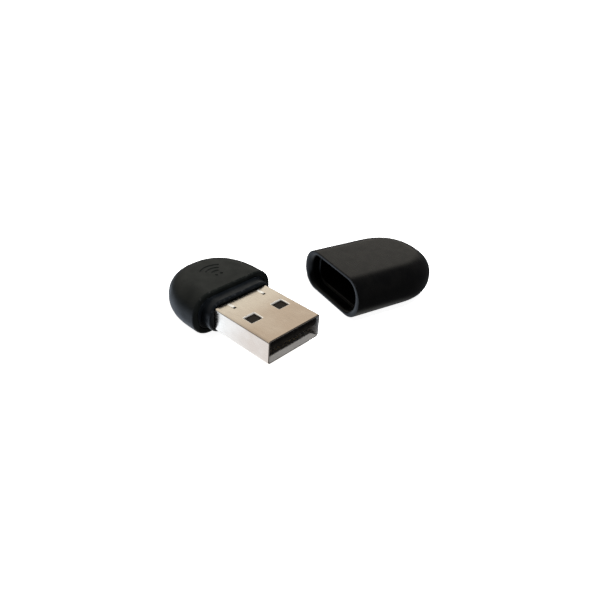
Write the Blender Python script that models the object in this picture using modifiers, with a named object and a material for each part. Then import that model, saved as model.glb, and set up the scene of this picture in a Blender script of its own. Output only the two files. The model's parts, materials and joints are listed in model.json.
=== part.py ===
"""USB WiFi adapter: a D-shaped plastic housing with a bare USB-A plug, and its cap lying beside it.

Millimetres below, metres in Blender. X points out of the plug, Z is up, and Z = 0 is the table.
The origin is on the table under the middle of the housing.
"""

import math

import bmesh
import bpy
from mathutils import Euler, Vector

MM = 0.001

# USB-A plug
PLUG_WIDTH = 12.0
PLUG_HEIGHT = 4.5
PLUG_WALL = 0.3
PLUG_RADIUS = 0.5
PLUG_REACH = 12.9  # from the collar's front to the tip
PLUG_TAIL = 5.25  # from the collar's front back to the shell's rear edge
WINDOW_LENGTH = 2.0
WINDOW_WIDTH = 2.4
WINDOW_FROM_TIP = 6.6
WINDOW_OFFSET = 3.17
DIMPLE_LENGTH = 0.9
DIMPLE_WIDTH = 0.5
DIMPLE_DEPTH = 0.12
DIMPLE_OFFSET = 3.4
DIMPLE_FROM_COLLAR = 0.75
TAB_LENGTH = 2.0
TAB_HEIGHT = 1.9
TONGUE_HEIGHT = 1.95
TONGUE_SETBACK = 0.45
BLOCK_LENGTH = 6.4
INSULATOR_EDGE = 0.125
CONTACT_THICKNESS = 0.2
CONTACT_EDGE = 0.05
CONTACT_WIDTH = 1.0
CONTACT_SETBACK = 1.6
CONTACT_PROUD = 0.08
CONTACT_OVERLAP = 1.3  # length of the tails on the board
CONTACT_PITCH_INNER = 2.0
CONTACT_PITCH_OUTER = 2.5

# Collar that closes the housing and guides the cap
COLLAR_SIDE_WALL = 1.05
COLLAR_TOP_WALL = 0.75
COLLAR_LENGTH = 2.1
SPIGOT_SETBACK = 0.35  # spigot's rear edge to the plug shell's rear edge
SNAP_HEIGHT = 0.45
SNAP_LENGTH = 0.9
SNAP_SPAN = 1.8

# Housing, a cup that opens towards the plug; the cap has the same section
SIDE_STEP = 1.85  # how far the housing stands out past the collar's sides
MOUTH_ROOM = 0.05  # above and below the collar, where it starts just inside the housing's mouth
EDGE_FLAT = 0.6  # flat band between the two rounded edges of every section
END_SQUARENESS = 2.25  # exponent of the rounded end's plan curve: 2 is an ellipse
HOUSING_STRAIGHT = 2.3
SIDE_WALL = 1.1
TOP_WALL = 0.95

# Circuit board and what is soldered to it
BOARD_THICKNESS = 0.8
BOARD_EDGE_GAP = 0.35
BOARD_FRONT_GAP = 0.3
BOARD_REAR_MARGIN = 0.4
RADIO_CHIP_LENGTH = 3.0
RADIO_CHIP_WIDTH = 3.8
RADIO_CHIP_HEIGHT = 0.8
TAB_ROOM = 0.25  # from a plug tab to the component beside it
SHIELD_ROOM = 0.35
SHIELD_HEIGHT = 1.3
SHIELD_SHEET = 0.15
SHIELD_SKIRT = 0.7
SHIELD_GAP = 0.3
ANTENNA_LENGTH = 0.9
ANTENNA_WIDTH = 3.0
ANTENNA_HEIGHT = 1.0
COMPONENT_EDGE_SHARE = 0.1  # of a component's least side, which its edges are rounded by
CAPACITOR_SIZE = (0.6, 1.1, 0.55)
RESISTOR_SIZE = (0.55, 1.0, 0.35)

# Cap
CAP_RECESS_MARGIN = 0.1  # recess depth past the collar's length
CAP_BORE_SIDE_ROOM = 0.9
CAP_BORE_TOP_ROOM = 0.5
CAP_BORE_ROUNDING = 1.5  # how much larger the bore's corner radius is than the plug's
CAP_BORE_MARGIN = 1.0  # free length past the plug's tip when the cap is on
CAP_END_WALL = 5.6
CAP_END_DEPTH = 9.85  # how much of the length is the rounded end
CAP_MOUTH_X = 13.45
CAP_MOUTH_Y = 18.2
CAP_YAW = 74.2
CAP_INLINE_GAP = 1.0  # mouth to plug tip once the cap is swung into line

# Clearances
FIT = 0.1  # between two pieces that seat in each other
SOLDER_GAP = 0.05  # under a soldered component and around a shield's skirt
CUT_OVERRUN = 1.0  # how far a cutter runs past the face it opens

ROUNDING_STEPS = 5  # bevel resolution of a rounded edge
SMOOTH_ANGLE = 30.0  # degrees; edges that turn more are shaded sharp
TOP = 1  # the board's two faces
UNDER = -1
SIDES = ((1, "left"), (-1, "right"))

# Worked out: sections
COLLAR_WIDTH = PLUG_WIDTH + 2 * (FIT + COLLAR_SIDE_WALL)
COLLAR_HEIGHT = PLUG_HEIGHT + 2 * (FIT + COLLAR_TOP_WALL)
BODY_WIDTH = COLLAR_WIDTH + 2 * SIDE_STEP
CAVITY_WIDTH = BODY_WIDTH - 2 * SIDE_WALL
CAVITY_HEIGHT = COLLAR_HEIGHT + 2 * MOUTH_ROOM
BODY_HEIGHT = CAVITY_HEIGHT + 2 * TOP_WALL
AXIS_HEIGHT = BODY_HEIGHT / 2

# Worked out: lengths
SHIELD_LENGTH = RADIO_CHIP_LENGTH + 2 * (SHIELD_ROOM + 2 * SHIELD_SHEET + SOLDER_GAP)
SHIELD_WIDTH = RADIO_CHIP_WIDTH + 2 * (SHIELD_ROOM + 2 * SHIELD_SHEET + SOLDER_GAP)
BOARD_LENGTH = CONTACT_OVERLAP + SHIELD_LENGTH + ANTENNA_LENGTH + 2 * SHIELD_GAP + BOARD_REAR_MARGIN
SPIGOT_LENGTH = PLUG_TAIL - COLLAR_LENGTH - SPIGOT_SETBACK
BOARD_INSET = SIDE_WALL + BOARD_EDGE_GAP
HOUSING_LENGTH = BOARD_INSET + BOARD_LENGTH + BOARD_FRONT_GAP + PLUG_TAIL - COLLAR_LENGTH
HOUSING_FRONT = HOUSING_LENGTH / 2
COLLAR_FRONT = HOUSING_FRONT + COLLAR_LENGTH
PLUG_TIP = COLLAR_FRONT + PLUG_REACH
PLUG_REAR = COLLAR_FRONT - PLUG_TAIL
BOARD_FRONT = PLUG_REAR - BOARD_FRONT_GAP
SHIELD_FRONT = BOARD_FRONT - CONTACT_OVERLAP - SHIELD_GAP
SHIELD_REAR = SHIELD_FRONT - SHIELD_LENGTH
SNAP_X = HOUSING_FRONT - SPIGOT_LENGTH / 2
SNAP_TIP = CAVITY_WIDTH / 2 - FIT + SNAP_HEIGHT
CAP_RECESS_DEPTH = COLLAR_LENGTH + CAP_RECESS_MARGIN
CAP_BORE_DEPTH = COLLAR_LENGTH + PLUG_REACH + CAP_BORE_MARGIN
CAP_LENGTH = CAP_BORE_DEPTH + CAP_END_WALL

# Worked out: heights inside the plug and on the board
TONGUE_TOP = AXIS_HEIGHT + PLUG_HEIGHT / 2 - PLUG_WALL - SOLDER_GAP
TONGUE_UNDERSIDE = TONGUE_TOP - TONGUE_HEIGHT
CONTACT_TOP = TONGUE_UNDERSIDE + CONTACT_THICKNESS - CONTACT_PROUD
CONTACT_UNDERSIDE = CONTACT_TOP - CONTACT_THICKNESS
CONTACT_FRONT = PLUG_TIP - TONGUE_SETBACK - CONTACT_SETBACK
BOARD_TOP = CONTACT_UNDERSIDE - SOLDER_GAP
BOARD_UNDERSIDE = BOARD_TOP - BOARD_THICKNESS

BLACK_HOUSING = ("housing_plastic", (0.030, 0.031, 0.028), 0.48, 0.0)
BLACK_COLLAR = ("collar_plastic", (0.020, 0.022, 0.026), 0.42, 0.0)
BLACK_CAP = ("cap_plastic", (0.028, 0.027, 0.025), 0.45, 0.0)
NICKEL = ("plug_nickel", (0.62, 0.57, 0.50), 0.24, 1.0)
INSULATOR = ("insulator_plastic", (0.010, 0.009, 0.009), 0.45, 0.0)
GOLD = ("contact_gold", (0.83, 0.62, 0.28), 0.25, 1.0)
BOARD_GREEN = ("board_laminate", (0.02, 0.13, 0.05), 0.5, 0.0)
TINPLATE = ("shield_tinplate", (0.66, 0.66, 0.64), 0.3, 1.0)
CHIP_EPOXY = ("chip_epoxy", (0.015, 0.015, 0.016), 0.55, 0.0)
CERAMIC_TAN = ("capacitor_ceramic", (0.42, 0.30, 0.18), 0.5, 0.0)
CERAMIC_WHITE = ("antenna_ceramic", (0.80, 0.80, 0.76), 0.4, 0.0)
FERRITE = ("inductor_ferrite", (0.10, 0.10, 0.11), 0.6, 0.0)
RESISTOR_BLACK = ("resistor_film", (0.03, 0.03, 0.035), 0.5, 0.0)
CRYSTAL_METAL = ("crystal_lid", (0.70, 0.68, 0.60), 0.28, 1.0)


def new_collection(name):
    collection = bpy.data.collections.new(name)
    bpy.context.scene.collection.children.link(collection)
    return collection


def clear_scene():
    for old in list(bpy.data.objects):
        bpy.data.objects.remove(old, do_unlink=True)


def material(finish):
    name, colour, roughness, metallic = finish
    made = bpy.data.materials.get(name) or bpy.data.materials.new(name)
    made.use_nodes = True
    shader = made.node_tree.nodes["Principled BSDF"]
    shader.inputs["Base Color"].default_value = (*colour, 1.0)
    shader.inputs["Roughness"].default_value = roughness
    shader.inputs["Metallic"].default_value = metallic
    return made


def add_object(name, mesh, collection):
    made = bpy.data.objects.new(name, mesh)
    collection.objects.link(made)
    return made


def smooth_by_angle():
    """Nodes that shade faces smooth and leave the edges that turn more than SMOOTH_ANGLE sharp."""
    group = bpy.data.node_groups.get("smooth_by_angle")
    if group:
        return group
    group = bpy.data.node_groups.new("smooth_by_angle", "GeometryNodeTree")
    group.interface.new_socket("Geometry", in_out="INPUT", socket_type="NodeSocketGeometry")
    group.interface.new_socket("Geometry", in_out="OUTPUT", socket_type="NodeSocketGeometry")
    start = group.nodes.new("NodeGroupInput")
    faces = group.nodes.new("GeometryNodeSetShadeSmooth")
    angle = group.nodes.new("GeometryNodeInputMeshEdgeAngle")
    gentle = group.nodes.new("FunctionNodeCompare")
    gentle.operation = "LESS_EQUAL"
    gentle.inputs["B"].default_value = math.radians(SMOOTH_ANGLE)
    edges = group.nodes.new("GeometryNodeSetShadeSmooth")
    edges.domain = "EDGE"
    end = group.nodes.new("NodeGroupOutput")
    group.links.new(start.outputs["Geometry"], faces.inputs["Geometry"])
    group.links.new(faces.outputs["Geometry"], edges.inputs["Geometry"])
    group.links.new(angle.outputs["Unsigned Angle"], gentle.inputs["A"])
    group.links.new(gentle.outputs["Result"], edges.inputs["Shade Smooth"])
    group.links.new(edges.outputs["Geometry"], end.inputs["Geometry"])
    return group


def finish_piece(piece, finish):
    """Comes after a piece's cuts and joins, so that its shading is worked out last."""
    piece.data.materials.clear()
    piece.data.materials.append(material(finish))
    shading = piece.modifiers.new("shading", "NODES")
    shading.node_group = smooth_by_angle()
    return piece


def box(name, collection, x, y, z, bevel=0.0):
    """A block between two X, two Y and two Z values, in millimetres."""
    bpy.ops.mesh.primitive_cube_add(size=1.0)
    made = bpy.context.object
    made.name = name
    made.data.name = name
    made.scale = ((x[1] - x[0]) * MM, (y[1] - y[0]) * MM, (z[1] - z[0]) * MM)
    made.location = ((x[0] + x[1]) / 2 * MM, (y[0] + y[1]) / 2 * MM, (z[0] + z[1]) / 2 * MM)
    bpy.ops.object.transform_apply(location=True, rotation=False, scale=True)
    for holder in list(made.users_collection):
        holder.objects.unlink(made)
    collection.objects.link(made)
    if bevel:
        add_bevel(made, bevel)
    return made


def add_bevel(piece, width, segments=2):
    bevel = piece.modifiers.new("edges", "BEVEL")
    bevel.width = width * MM
    bevel.segments = segments
    bevel.limit_method = "ANGLE"
    bevel.angle_limit = math.radians(50)


def cut(piece, cutter):
    add_boolean(piece, cutter, "DIFFERENCE")


def join(piece, addition):
    add_boolean(piece, addition, "UNION")


def add_boolean(piece, other, operation):
    boolean = piece.modifiers.new(other.name, "BOOLEAN")
    boolean.object = other
    boolean.operation = operation
    boolean.solver = "EXACT"
    other.hide_render = True
    other.display_type = "WIRE"


def curve_solid(name, collection, outline, half_thickness, rounding=0.0):
    """A closed flat outline in XY thickened along Z, its edges rounded within its own size."""
    curve = bpy.data.curves.new(name, "CURVE")
    curve.dimensions = "2D"
    curve.fill_mode = "BOTH"
    curve.extrude = (half_thickness - rounding) * MM
    curve.bevel_depth = rounding * MM
    curve.bevel_resolution = ROUNDING_STEPS
    curve.offset = -rounding * MM
    spline = curve.splines.new("POLY")
    spline.points.add(len(outline) - 1)
    for point, (x, y) in zip(spline.points, outline):
        point.co = (x * MM, y * MM, 0.0, 1.0)
    spline.use_cyclic_u = True
    shape = bpy.data.objects.new(name, curve)
    bpy.context.scene.collection.objects.link(shape)
    depsgraph = bpy.context.evaluated_depsgraph_get()
    mesh = bpy.data.meshes.new_from_object(shape.evaluated_get(depsgraph))
    mesh.name = name
    bpy.data.objects.remove(shape, do_unlink=True)
    bpy.data.curves.remove(curve)
    made = add_object(name, mesh, collection)
    close_mesh(made)
    return made


def close_mesh(piece):
    shape = bmesh.new()
    shape.from_mesh(piece.data)
    bmesh.ops.remove_doubles(shape, verts=shape.verts, dist=0.0005 * MM)
    bmesh.ops.recalc_face_normals(shape, faces=shape.faces)
    shape.to_mesh(piece.data)
    shape.free()


def end_outline(width, front, straight_end, tip, steps=20):
    """Plan of a D: straight sides from front back to straight_end, then a rounded end out to tip."""
    reach = tip - straight_end
    points = [(front, width / 2)]
    for step in range(2 * steps + 1):
        angle = math.pi * step / (2 * steps)
        across = math.copysign(abs(math.cos(angle)) ** (2 / END_SQUARENESS), math.cos(angle))
        along = math.sin(angle) ** (2 / END_SQUARENESS)
        points.append((straight_end + reach * along, width / 2 * across))
    points.append((front, -width / 2))
    return points


def rounded_rectangle(width, height, radius, steps=8):
    points = []
    for side_x, side_y, start in ((1, 1, 0), (-1, 1, 90), (-1, -1, 180), (1, -1, 270)):
        for step in range(steps + 1):
            angle = math.radians(start + 90 * step / steps)
            x = side_x * (width / 2 - radius) + radius * math.cos(angle)
            y = side_y * (height / 2 - radius) + radius * math.sin(angle)
            points.append((x, y))
    return points


def edge_radius(height):
    """Edges round into each other but for a narrow flat band round the middle."""
    return (height - EDGE_FLAT) / 2


def prism_along_x(name, collection, section, x, height_above=AXIS_HEIGHT):
    """A (width, height, radius) section run from x[0] to x[1]."""
    made = curve_solid(name, collection, rounded_rectangle(*section), (x[1] - x[0]) / 2)
    made.rotation_euler = (math.radians(90), 0.0, math.radians(90))
    made.location = ((x[0] + x[1]) / 2 * MM, 0.0, height_above * MM)
    return made


def d_body(name, collection, width, height, straight, length):
    """A D-shaped, round-edged block that starts before X = 0, for cutting flat, and ends at length."""
    radius = edge_radius(height)
    outline = end_outline(width, -radius - CUT_OVERRUN, straight, length)
    return curve_solid(name, collection, outline, height / 2, radius)


def mouth_trim(name, collection):
    """Takes away what lies before X = 0 in a D-shaped body's own frame."""
    start = -edge_radius(BODY_HEIGHT) - 2 * CUT_OVERRUN
    return box(name, collection, (start, 0.0), (-BODY_WIDTH, BODY_WIDTH), (-BODY_HEIGHT, BODY_HEIGHT))


def face_backwards(piece, height_above=AXIS_HEIGHT):
    """Put a body made in its own frame behind the housing's front face, pointing away from the plug."""
    piece.location = (HOUSING_FRONT * MM, 0.0, height_above * MM)
    piece.rotation_euler = (0.0, 0.0, math.pi)


def span(middle, size):
    return (middle - size / 2, middle + size / 2)


def on_side(side, inner, outer):
    """The Y values of a block between two distances from the middle, on the +1 or -1 side."""
    return tuple(sorted((side * inner, side * outer)))


def make_housing(parts, cutters):
    shell = d_body("housing_shell", parts, BODY_WIDTH, BODY_HEIGHT, HOUSING_STRAIGHT, HOUSING_LENGTH)
    cavity = d_body(
        "housing_cavity", cutters, CAVITY_WIDTH, CAVITY_HEIGHT, HOUSING_STRAIGHT, HOUSING_LENGTH - SIDE_WALL
    )
    trim = mouth_trim("housing_trim", cutters)
    for piece in (shell, cavity, trim):
        face_backwards(piece)
    cut(shell, trim)
    cut(shell, cavity)
    for side, label in SIDES:
        pocket = box(
            "snap_pocket_" + label, cutters, span(SNAP_X, SNAP_LENGTH + 2 * FIT),
            on_side(side, CAVITY_WIDTH / 2 - CUT_OVERRUN, SNAP_TIP + FIT),
            span(AXIS_HEIGHT, SNAP_SPAN + 2 * FIT),
        )
        cut(shell, pocket)
    return finish_piece(shell, BLACK_HOUSING)


def make_collar(parts, cutters):
    section = (COLLAR_WIDTH, COLLAR_HEIGHT, edge_radius(COLLAR_HEIGHT))
    collar = prism_along_x("front_collar", parts, section, (HOUSING_FRONT - FIT, COLLAR_FRONT))
    spigot_height = CAVITY_HEIGHT - 2 * FIT
    spigot_section = (CAVITY_WIDTH - 2 * FIT, spigot_height, edge_radius(spigot_height))
    spigot_rear = HOUSING_FRONT - SPIGOT_LENGTH
    join(collar, prism_along_x("collar_spigot", cutters, spigot_section, (spigot_rear, HOUSING_FRONT)))
    for side, label in SIDES:
        snap = box(
            "snap_" + label, cutters, span(SNAP_X, SNAP_LENGTH),
            on_side(side, CAVITY_WIDTH / 2 - CUT_OVERRUN, SNAP_TIP), span(AXIS_HEIGHT, SNAP_SPAN),
        )
        join(collar, snap)
    bore_section = (PLUG_WIDTH + 2 * FIT, PLUG_HEIGHT + 2 * FIT, PLUG_RADIUS + FIT)
    bore_x = (spigot_rear - CUT_OVERRUN, COLLAR_FRONT + CUT_OVERRUN)
    cut(collar, prism_along_x("collar_bore", cutters, bore_section, bore_x))
    return finish_piece(collar, BLACK_COLLAR)


def make_plug_shell(parts, cutters):
    section = (PLUG_WIDTH, PLUG_HEIGHT, PLUG_RADIUS)
    shell = prism_along_x("plug_shell", parts, section, (PLUG_REAR, PLUG_TIP))
    for side, label in SIDES:
        tab = box(
            "plug_tab_" + label, cutters, (PLUG_REAR - TAB_LENGTH, PLUG_REAR + CUT_OVERRUN),
            on_side(side, PLUG_WIDTH / 2 - PLUG_WALL, PLUG_WIDTH / 2), span(AXIS_HEIGHT, TAB_HEIGHT),
        )
        join(shell, tab)
    hollow_section = (PLUG_WIDTH - 2 * PLUG_WALL, PLUG_HEIGHT - 2 * PLUG_WALL, PLUG_RADIUS - PLUG_WALL)
    hollow_x = (PLUG_REAR - TAB_LENGTH - CUT_OVERRUN, PLUG_TIP + CUT_OVERRUN)
    cut(shell, prism_along_x("plug_hollow", cutters, hollow_section, hollow_x))
    plug_top = AXIS_HEIGHT + PLUG_HEIGHT / 2
    for side, label in SIDES:
        window = box(
            "plug_window_" + label, cutters, span(PLUG_TIP - WINDOW_FROM_TIP, WINDOW_LENGTH),
            span(side * WINDOW_OFFSET, WINDOW_WIDTH), span(AXIS_HEIGHT, PLUG_HEIGHT + 2 * CUT_OVERRUN),
        )
        cut(shell, window)
        dimple = box(
            "plug_dimple_" + label, cutters, span(COLLAR_FRONT + DIMPLE_FROM_COLLAR, DIMPLE_LENGTH),
            span(side * DIMPLE_OFFSET, DIMPLE_WIDTH), (plug_top - DIMPLE_DEPTH, plug_top + CUT_OVERRUN),
        )
        cut(shell, dimple)
    return finish_piece(shell, NICKEL)


def contact_places():
    inner = CONTACT_PITCH_INNER / 2
    outer = inner + CONTACT_PITCH_OUTER
    return (
        ("contact_vbus", -outer),
        ("contact_data_minus", -inner),
        ("contact_data_plus", inner),
        ("contact_ground", outer),
    )


def make_insulator(parts, cutters):
    width = PLUG_WIDTH - 2 * (PLUG_WALL + SOLDER_GAP)
    height = PLUG_HEIGHT - 2 * (PLUG_WALL + SOLDER_GAP)
    tongue_x = (PLUG_REAR, PLUG_TIP - TONGUE_SETBACK)
    insulator = box(
        "plug_insulator", parts, tongue_x, span(0.0, width), (TONGUE_UNDERSIDE, TONGUE_TOP),
        bevel=INSULATOR_EDGE,
    )
    block = box(
        "insulator_block", cutters, (PLUG_REAR, PLUG_REAR + BLOCK_LENGTH), span(0.0, width),
        span(AXIS_HEIGHT, height), bevel=INSULATOR_EDGE,
    )
    join(insulator, block)
    for name, across in contact_places():
        groove = box(
            name + "_groove", cutters, (PLUG_REAR - CUT_OVERRUN, CONTACT_FRONT + SOLDER_GAP),
            span(across, CONTACT_WIDTH + 2 * SOLDER_GAP),
            (CONTACT_UNDERSIDE - SOLDER_GAP, CONTACT_TOP + SOLDER_GAP),
        )
        cut(insulator, groove)
    return finish_piece(insulator, INSULATOR)


def make_contacts(parts):
    for name, across in contact_places():
        contact = box(
            name, parts, (BOARD_FRONT - CONTACT_OVERLAP, CONTACT_FRONT), span(across, CONTACT_WIDTH),
            (CONTACT_UNDERSIDE, CONTACT_TOP), bevel=CONTACT_EDGE,
        )
        finish_piece(contact, GOLD)


def make_board(parts, cutters):
    outline = end_outline(BODY_WIDTH - 2 * BOARD_INSET, 0.0, HOUSING_STRAIGHT, HOUSING_LENGTH - BOARD_INSET)
    board = curve_solid("circuit_board", parts, outline, BOARD_THICKNESS / 2)
    face_backwards(board, (BOARD_TOP + BOARD_UNDERSIDE) / 2)
    cut_z = (BOARD_UNDERSIDE - CUT_OVERRUN, BOARD_TOP + CUT_OVERRUN)
    front = box(
        "board_trim", cutters, (BOARD_FRONT, HOUSING_FRONT + CUT_OVERRUN), (-BODY_WIDTH, BODY_WIDTH), cut_z
    )
    cut(board, front)
    for side, label in SIDES:
        notch = box(
            "tab_notch_" + label, cutters, (PLUG_REAR - TAB_LENGTH - FIT, BOARD_FRONT + CUT_OVERRUN),
            on_side(side, PLUG_WIDTH / 2 - PLUG_WALL - FIT, PLUG_WIDTH / 2 + FIT), cut_z,
        )
        cut(board, notch)
    return finish_piece(board, BOARD_GREEN)


def make_shield(parts, cutters):
    bottom = BOARD_TOP + SOLDER_GAP
    top = bottom + SHIELD_HEIGHT
    middle = (SHIELD_FRONT + SHIELD_REAR) / 2
    lid = SHIELD_SHEET + SOLDER_GAP
    cover = box(
        "shield_cover", parts, span(middle, SHIELD_LENGTH), span(0.0, SHIELD_WIDTH),
        (top - SHIELD_SKIRT, top), bevel=SHIELD_SHEET / 2,
    )
    cover_hollow = box(
        "cover_hollow", cutters, span(middle, SHIELD_LENGTH - 2 * SHIELD_SHEET),
        span(0.0, SHIELD_WIDTH - 2 * SHIELD_SHEET), (bottom - CUT_OVERRUN, top - SHIELD_SHEET),
    )
    cut(cover, cover_hollow)
    finish_piece(cover, TINPLATE)
    frame_length = SHIELD_LENGTH - 2 * lid
    frame_width = SHIELD_WIDTH - 2 * lid
    frame = box(
        "shield_frame", parts, span(middle, frame_length), span(0.0, frame_width), (bottom, top - lid)
    )
    frame_hollow = box(
        "frame_hollow", cutters, span(middle, frame_length - 2 * SHIELD_SHEET),
        span(0.0, frame_width - 2 * SHIELD_SHEET), (bottom - CUT_OVERRUN, top + CUT_OVERRUN),
    )
    cut(frame, frame_hollow)
    finish_piece(frame, TINPLATE)


def soldered(name, parts, face, middle, size, finish):
    """A component on the board's top or underside, its middle at an X and a Y."""
    near = BOARD_TOP + SOLDER_GAP if face == TOP else BOARD_UNDERSIDE - SOLDER_GAP
    length, width, height = size
    piece = box(
        name, parts, span(middle[0], length), span(middle[1], width), sorted((near, near + face * height)),
        bevel=COMPONENT_EDGE_SHARE * min(size),
    )
    finish_piece(piece, finish)


def make_shielded_parts(parts):
    chip_size = (RADIO_CHIP_LENGTH, RADIO_CHIP_WIDTH, RADIO_CHIP_HEIGHT)
    soldered("radio_chip", parts, TOP, ((SHIELD_FRONT + SHIELD_REAR) / 2, 0.0), chip_size, CHIP_EPOXY)
    antenna_x = SHIELD_REAR - SHIELD_GAP - ANTENNA_LENGTH / 2
    antenna_size = (ANTENNA_LENGTH, ANTENNA_WIDTH, ANTENNA_HEIGHT)
    soldered("chip_antenna", parts, TOP, (antenna_x, 0.0), antenna_size, CERAMIC_WHITE)


def make_components(parts):
    """Each place is X back from the board's front edge and Y across from the middle."""
    beside_tab = PLUG_WIDTH / 2 - PLUG_WALL - TAB_ROOM
    beside_left_tab = beside_tab - CAPACITOR_SIZE[1] / 2
    beside_right_tab = RESISTOR_SIZE[1] / 2 - beside_tab
    components = (
        ("crystal_can", TOP, 3.0, 4.2, (2.0, 1.6, 0.55), CRYSTAL_METAL),
        ("voltage_regulator", TOP, 3.2, -4.3, (2.6, 1.4, 0.95), CHIP_EPOXY),
        ("power_inductor", UNDER, 3.6, 0.0, (2.5, 2.4, 1.2), FERRITE),
        ("memory_chip", UNDER, 3.4, 3.4, (3.0, 2.0, 0.75), CHIP_EPOXY),
        ("surge_protector", UNDER, 1.9, -2.6, (1.5, 1.2, 0.6), CHIP_EPOXY),
        ("capacitor_1", TOP, 0.6, beside_left_tab, CAPACITOR_SIZE, CERAMIC_TAN),
        ("capacitor_2", TOP, 5.0, -3.5, CAPACITOR_SIZE, CERAMIC_TAN),
        ("capacitor_3", UNDER, 6.1, 1.6, CAPACITOR_SIZE, CERAMIC_TAN),
        ("capacitor_4", UNDER, 6.1, -1.6, CAPACITOR_SIZE, CERAMIC_TAN),
        ("capacitor_5", UNDER, 4.4, -2.6, CAPACITOR_SIZE, CERAMIC_TAN),
        ("resistor_1", TOP, 0.6, beside_right_tab, RESISTOR_SIZE, RESISTOR_BLACK),
        ("resistor_2", UNDER, 3.2, -4.5, RESISTOR_SIZE, RESISTOR_BLACK),
        ("resistor_3", UNDER, 1.0, 1.0, RESISTOR_SIZE, RESISTOR_BLACK),
        ("resistor_4", UNDER, 1.0, -0.8, RESISTOR_SIZE, RESISTOR_BLACK),
    )
    for name, face, back, across, size, finish in components:
        soldered(name, parts, face, (BOARD_FRONT - back, across), size, finish)


def swing_axis_point():
    """Point about which turning by -CAP_YAW brings the cap's mouth into line ahead of the plug's tip."""
    cosine = math.cos(math.radians(-CAP_YAW))
    sine = math.sin(math.radians(-CAP_YAW))
    shift_x = PLUG_TIP + CAP_INLINE_GAP - (cosine * CAP_MOUTH_X - sine * CAP_MOUTH_Y)
    shift_y = -(sine * CAP_MOUTH_X + cosine * CAP_MOUTH_Y)
    scale = (1 - cosine) ** 2 + sine**2
    x = ((1 - cosine) * shift_x - sine * shift_y) / scale
    y = (sine * shift_x + (1 - cosine) * shift_y) / scale
    return x, y


def make_cap(parts, cutters):
    cap = d_body("cap_shell", parts, BODY_WIDTH, BODY_HEIGHT, CAP_LENGTH - CAP_END_DEPTH, CAP_LENGTH)
    trim = mouth_trim("cap_trim", cutters)
    recess_height = COLLAR_HEIGHT + 2 * FIT
    recess_section = (COLLAR_WIDTH + 2 * FIT, recess_height, edge_radius(recess_height))
    recess = prism_along_x("cap_recess", cutters, recess_section, (-CUT_OVERRUN, CAP_RECESS_DEPTH), 0.0)
    bore_height = PLUG_HEIGHT + 2 * CAP_BORE_TOP_ROOM
    bore_section = (PLUG_WIDTH + 2 * CAP_BORE_SIDE_ROOM, bore_height, PLUG_RADIUS + CAP_BORE_ROUNDING)
    bore = prism_along_x("cap_bore", cutters, bore_section, (-CUT_OVERRUN, CAP_BORE_DEPTH), 0.0)
    swing = bpy.data.objects.new("cap_swing_axis", None)
    parts.objects.link(swing)
    swing_x, swing_y = swing_axis_point()
    swing.location = (swing_x * MM, swing_y * MM, AXIS_HEIGHT * MM)
    mouth = Vector(((CAP_MOUTH_X - swing_x) * MM, (CAP_MOUTH_Y - swing_y) * MM, 0.0))
    turn = Euler((0.0, 0.0, math.radians(CAP_YAW)))
    for piece in (cap, trim, recess, bore):
        piece.parent = swing
        piece.location.rotate(turn)
        piece.location += mouth
        piece.rotation_euler.rotate(turn)
    for cutter in (trim, recess, bore):
        cut(cap, cutter)
    return finish_piece(cap, BLACK_CAP)


def main():
    clear_scene()
    parts = new_collection("usb_wifi_adapter")
    cutters = new_collection("usb_wifi_adapter_cutters")
    make_housing(parts, cutters)
    make_collar(parts, cutters)
    make_plug_shell(parts, cutters)
    make_insulator(parts, cutters)
    make_contacts(parts)
    make_board(parts, cutters)
    make_shield(parts, cutters)
    make_shielded_parts(parts)
    make_components(parts)
    make_cap(parts, cutters)


main()
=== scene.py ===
"""Looks of the USB WiFi adapter: moulded black plastic, a nickel plug, and the board inside."""

import json
import math

import bmesh
import bpy
from mathutils import Matrix, Vector


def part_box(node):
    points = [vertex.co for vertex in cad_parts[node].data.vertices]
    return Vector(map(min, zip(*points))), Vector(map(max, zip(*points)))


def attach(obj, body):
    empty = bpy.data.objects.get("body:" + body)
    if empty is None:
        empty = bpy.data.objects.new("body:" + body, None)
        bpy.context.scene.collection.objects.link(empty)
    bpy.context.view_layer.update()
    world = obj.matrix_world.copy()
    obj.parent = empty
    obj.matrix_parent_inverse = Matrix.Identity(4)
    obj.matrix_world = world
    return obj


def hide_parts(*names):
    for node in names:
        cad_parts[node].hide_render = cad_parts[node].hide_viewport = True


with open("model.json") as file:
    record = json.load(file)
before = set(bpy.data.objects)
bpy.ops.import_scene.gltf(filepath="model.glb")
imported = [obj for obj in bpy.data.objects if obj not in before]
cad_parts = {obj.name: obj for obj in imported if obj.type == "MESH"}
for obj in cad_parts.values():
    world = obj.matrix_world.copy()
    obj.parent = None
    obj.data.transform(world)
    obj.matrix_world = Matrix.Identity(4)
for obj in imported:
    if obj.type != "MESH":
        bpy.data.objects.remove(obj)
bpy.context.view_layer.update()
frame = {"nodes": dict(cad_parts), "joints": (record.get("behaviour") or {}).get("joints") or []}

MM = 0.001
ADAPTER = "adapter"
CAP = "cap"

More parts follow.
